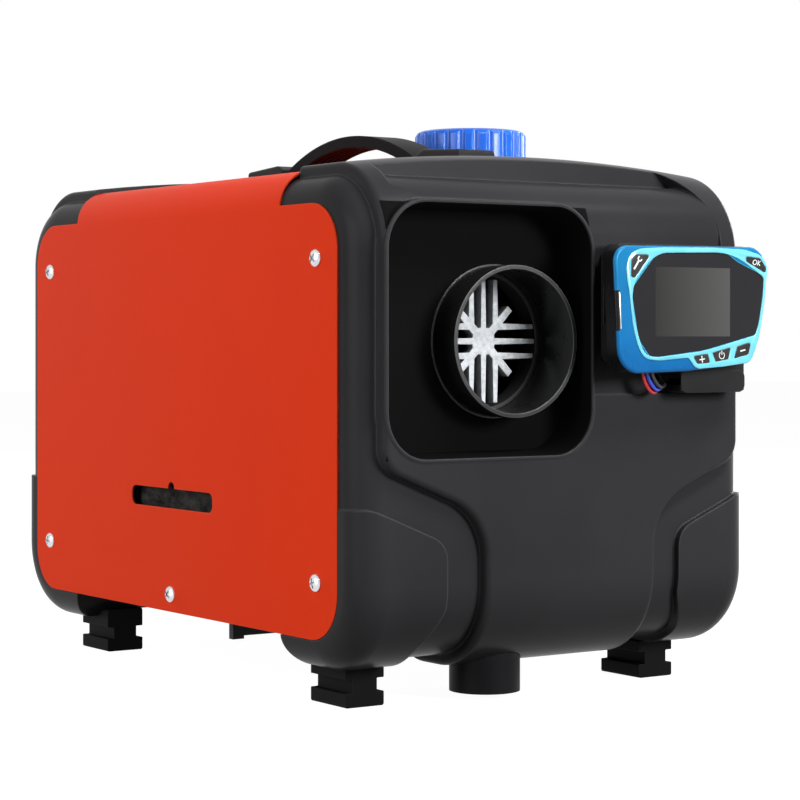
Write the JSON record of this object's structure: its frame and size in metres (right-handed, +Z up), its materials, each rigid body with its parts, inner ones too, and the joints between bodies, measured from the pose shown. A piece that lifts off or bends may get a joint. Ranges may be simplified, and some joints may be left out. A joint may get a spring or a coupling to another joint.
{
  "type": "portable diesel air heater",
  "caption": "Portable diesel air heater in a carry case: moulded black end shells, orange steel cover, outlet tube in a window, strap handle, screw fuel cap and a front controller.",
  "frame": {"origin": "on the ground under the middle of the case, level with the soles of the feet", "axes": "+Z up, -Y to the front where the warm air leaves, +X to the right seen from the front"},
  "size_m": [0.2452, 0.4108, 0.293],
  "materials": {
    "black_moulding": "satin, slightly soft sheen",
    "orange_sheet": "smooth powder coat, satin",
    "zinc_steel": "bright zinc",
    "black_sheet": "matt powder coat",
    "rubber": "matt",
    "strap_rubber": "satin, fine grain",
    "mat_felt": "coarse needled felt",
    "tank_plastic": "natural, milky",
    "cap_blue": "glossy",
    "line_plastic": "translucent",
    "casing_black": "matt moulding",
    "cast_aluminium": "bead-blasted casting",
    "heat_steel": "plain",
    "bezel_blue": "glossy metallic paint",
    "panel_glass": "polished, nearly black",
    "display": "switched off",
    "key_black": "glossy",
    "wire": "PVC sheath"
  },
  "bodies": {
    "case": {"base_screws": "zinc_steel", "base_tray": "black_sheet", "burner_housing": "cast_aluminium", "casing_lower": "casing_black", "casing_upper": "casing_black", "combustion_chamber": "heat_steel", "control_unit": "casing_black", "controller_bezel": "bezel_blue", "controller_bracket": "black_moulding", "controller_case": "black_moulding", "controller_glass": "panel_glass", "controller_screen": "display", "controller_wires": "wire", "cover": "orange_sheet", "cover_screws": "zinc_steel", "cross_rail": "black_sheet", "exchanger_fins": "cast_aluminium", "exhaust_clamp": "zinc_steel", "exhaust_pipe": "heat_steel", "filler_neck": "tank_plastic", "foot_front_left": "rubber", "foot_front_right": "rubber", "foot_rear_left": "rubber", "foot_rear_right": "rubber", "front_shell": "black_moulding", "fuel_filter": "tank_plastic", "fuel_line_burner": "line_plastic", "fuel_line_pump": "line_plastic", "fuel_line_tank": "line_plastic", "fuel_pump": "heat_steel", "fuel_tank": "tank_plastic", "glow_plug": "heat_steel", "handle_end_front": "black_moulding", "handle_end_rear": "black_moulding", "handle_screws": "zinc_steel", "handle_strap": "strap_rubber", "heat_exchanger": "cast_aluminium", "heater_stand": "black_sheet", "inlet_grille": "black_moulding", "insulation_mat": "mat_felt", "intake_hose": "rubber", "intake_silencer": "casing_black", "motor": "heat_steel", "mount_gasket": "rubber", "mount_nuts": "zinc_steel", "outlet_tube": "casing_black", "power_gland": "casing_black", "pump_clamp": "zinc_steel", "rear_shell": "black_moulding"},
    "cap_carrier": {"cap_gasket": "rubber"},
    "cap": {"fuel_cap": "cap_blue"},
    "rotor": {"motor_shaft": "zinc_steel", "blower_fan": "casing_black", "combustion_impeller": "casing_black"},
    "plunger": {"pump_plunger": "heat_steel"},
    "settings_key": {"button_settings": "key_black"},
    "ok_key": {"button_ok": "key_black"},
    "plus_key": {"button_plus": "key_black"},
    "power_key": {"button_power": "key_black"},
    "minus_key": {"button_minus": "key_black"}
  },
  "joints": [
    {"name": "fuel_cap_rise", "type": "slide", "parent": "case", "child": "cap_carrier", "axis": [0, 0, 1], "range_m": [0, 0.0075]},
    {"name": "fuel_cap_turn", "type": "hinge", "parent": "cap_carrier", "child": "cap", "pos_m": [0.072, 0, 0.28], "axis": [0, 0, 1], "range_deg": [0, 540]},
    {"name": "rotor_spin", "type": "hinge", "parent": "case", "child": "rotor", "pos_m": [-0.029, 0.1, 0.175], "axis": [0, 1, 0], "continuous": true},
    {"name": "pump_stroke", "type": "slide", "parent": "case", "child": "plunger", "axis": [0, 1, 0], "range_m": [0, 0.003], "stiffness_N_per_m": 500, "springref_m": -0.004},
    {"name": "settings_press", "type": "slide", "parent": "case", "child": "settings_key", "axis": [0, 1, 0], "range_m": [0, 0.0008], "stiffness_N_per_m": 400, "springref_m": -0.002},
    {"name": "ok_press", "type": "slide", "parent": "case", "child": "ok_key", "axis": [0, 1, 0], "range_m": [0, 0.0008], "stiffness_N_per_m": 400, "springref_m": -0.002},
    {"name": "plus_press", "type": "slide", "parent": "case", "child": "plus_key", "axis": [0, 1, 0], "range_m": [0, 0.0008], "stiffness_N_per_m": 400, "springref_m": -0.002},
    {"name": "power_press", "type": "slide", "parent": "case", "child": "power_key", "axis": [0, 1, 0], "range_m": [0, 0.0008], "stiffness_N_per_m": 400, "springref_m": -0.002},
    {"name": "minus_press", "type": "slide", "parent": "case", "child": "minus_key", "axis": [0, 1, 0], "range_m": [0, 0.0008], "stiffness_N_per_m": 400, "springref_m": -0.002}
  ],
  "couplings": [
    {"joint": "fuel_cap_rise", "follows": "fuel_cap_turn", "m_per_rad": 0.000795}
  ]
}
